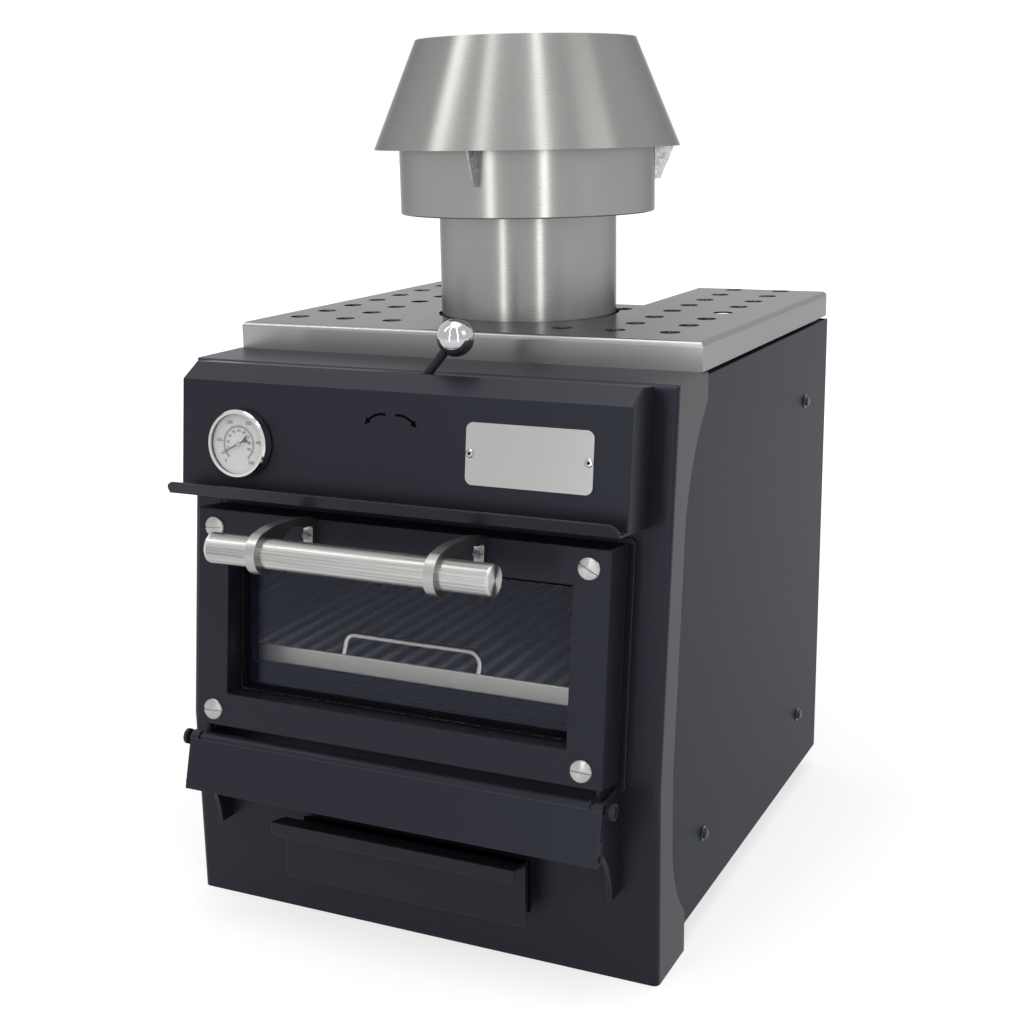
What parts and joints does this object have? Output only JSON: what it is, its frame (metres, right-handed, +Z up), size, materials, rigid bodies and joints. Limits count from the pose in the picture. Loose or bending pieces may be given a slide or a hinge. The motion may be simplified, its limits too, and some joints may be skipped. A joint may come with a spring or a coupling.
{
  "type": "charcoal oven",
  "caption": "Sheet-steel charcoal oven with a drop-down glass door, ash drawer, hinged apron, chimney with a damper lever, and a dial thermometer.",
  "frame": {"origin": "on the floor, under the middle of the whole oven's width and depth", "axes": "+Z up through the chimney, -Y out of the door's front, +X to the right as seen from the front"},
  "size_m": [0.5984, 0.8054, 1.004],
  "materials": {
    "charcoal_coat": "satin powder coat, bluish charcoal",
    "black_steel": "matt heat-proof black",
    "brushed_stainless": "brushed stainless sheet",
    "polished_steel": "polished stainless",
    "bracket_steel": "cut and brushed stainless plate",
    "chrome": "polished",
    "galvanised": "bright galvanised",
    "grill_steel": "satin stainless",
    "cast_iron": "raw casting",
    "black_rope": "braided glass-fibre rope",
    "mineral_wool": "pressed fibre",
    "black_rubber": "matt",
    "brass": "turned",
    "dial_enamel": "printed enamel",
    "needle_paint": "matt",
    "dark_glass": "tinted ceramic glass",
    "clear_glass": "clear"
  },
  "bodies": {
    "cabinet": {"front_fascia": "charcoal_coat", "side_panel_left": "charcoal_coat", "side_panel_right": "charcoal_coat", "rear_panel": "charcoal_coat", "base_plate": "black_steel", "feet": "black_rubber", "roof_panel": "black_steel", "cover_supports": "black_steel", "top_cover": "brushed_stainless", "oven_chamber": "black_steel", "ash_chute": "black_steel", "fire_grate": "cast_iron", "chamber_stand": "black_steel", "insulation": "mineral_wool", "rack_rails": "grill_steel", "cooking_grill": "grill_steel", "grill_handle": "grill_steel", "control_panel": "charcoal_coat", "name_plate": "brushed_stainless", "name_plate_screws": "polished_steel", "thermometer_case": "black_steel", "thermometer_dial": "dial_enamel", "thermometer_bezel": "polished_steel", "thermometer_lens": "clear_glass", "door_surround": "charcoal_coat", "hinge_pins": "black_steel", "corbel_left": "charcoal_coat", "corbel_right": "charcoal_coat", "drawer_runners": "black_steel", "flue_pipe": "brushed_stainless", "flue_collar": "black_steel", "spark_deflector": "brushed_stainless", "damper_bushes": "brass", "panel_bolts": "black_steel", "grease_plug": "black_steel"},
    "door": {"door_outer_frame": "charcoal_coat", "door_rear_frame": "black_steel", "glass_gasket": "black_rope", "door_glass": "dark_glass", "door_rope_gasket": "black_rope", "door_screws": "polished_steel", "door_hinge_ears": "charcoal_coat", "handle_bar": "brushed_stainless", "handle_end_caps": "polished_steel", "handle_bracket_left": "bracket_steel", "handle_bracket_right": "bracket_steel", "handle_bolts": "polished_steel"},
    "apron": {"apron_panel": "charcoal_coat", "apron_barrel": "charcoal_coat", "apron_stops": "black_steel"},
    "ash_drawer": {"drawer_front": "charcoal_coat", "drawer_tray": "black_steel"},
    "damper": {"damper_shaft": "grill_steel", "damper_lever": "black_steel", "damper_knob": "chrome", "damper_plate": "grill_steel"},
    "needle": {"thermometer_needle": "needle_paint"},
    "chimney_head": {"firebreak_drum": "brushed_stainless", "chimney_hat": "brushed_stainless", "hat_gussets": "galvanised"}
  },
  "joints": [
    {"name": "door_hinge", "type": "hinge", "parent": "cabinet", "child": "door", "pos_m": [0, -0.30932, 0.2205], "axis": [1, 0, 0], "range_deg": [0, 96.8]},
    {"name": "apron_swing", "type": "hinge", "parent": "cabinet", "child": "apron", "pos_m": [0, -0.30932, 0.2205], "axis": [-1, 0, 0], "range_deg": [0, 28]},
    {"name": "ash_drawer_slide", "type": "slide", "parent": "cabinet", "child": "ash_drawer", "axis": [0, -1, 0], "range_m": [-0.026, 0.19]},
    {"name": "damper_turn", "type": "hinge", "parent": "cabinet", "child": "damper", "pos_m": [0, -0.23132, 0.624], "axis": [0, -1, 0], "range_deg": [0, 82]},
    {"name": "needle_turn", "type": "hinge", "parent": "cabinet", "child": "needle", "pos_m": [-0.188, -0.2862, 0.56869], "axis": [0, 0.993, -0.1177], "range_deg": [-20, 244]},
    {"name": "chimney_head_lift", "type": "slide", "parent": "cabinet", "child": "chimney_head", "axis": [0, 0, 1], "range_m": [0, 0.15]}
  ]
}
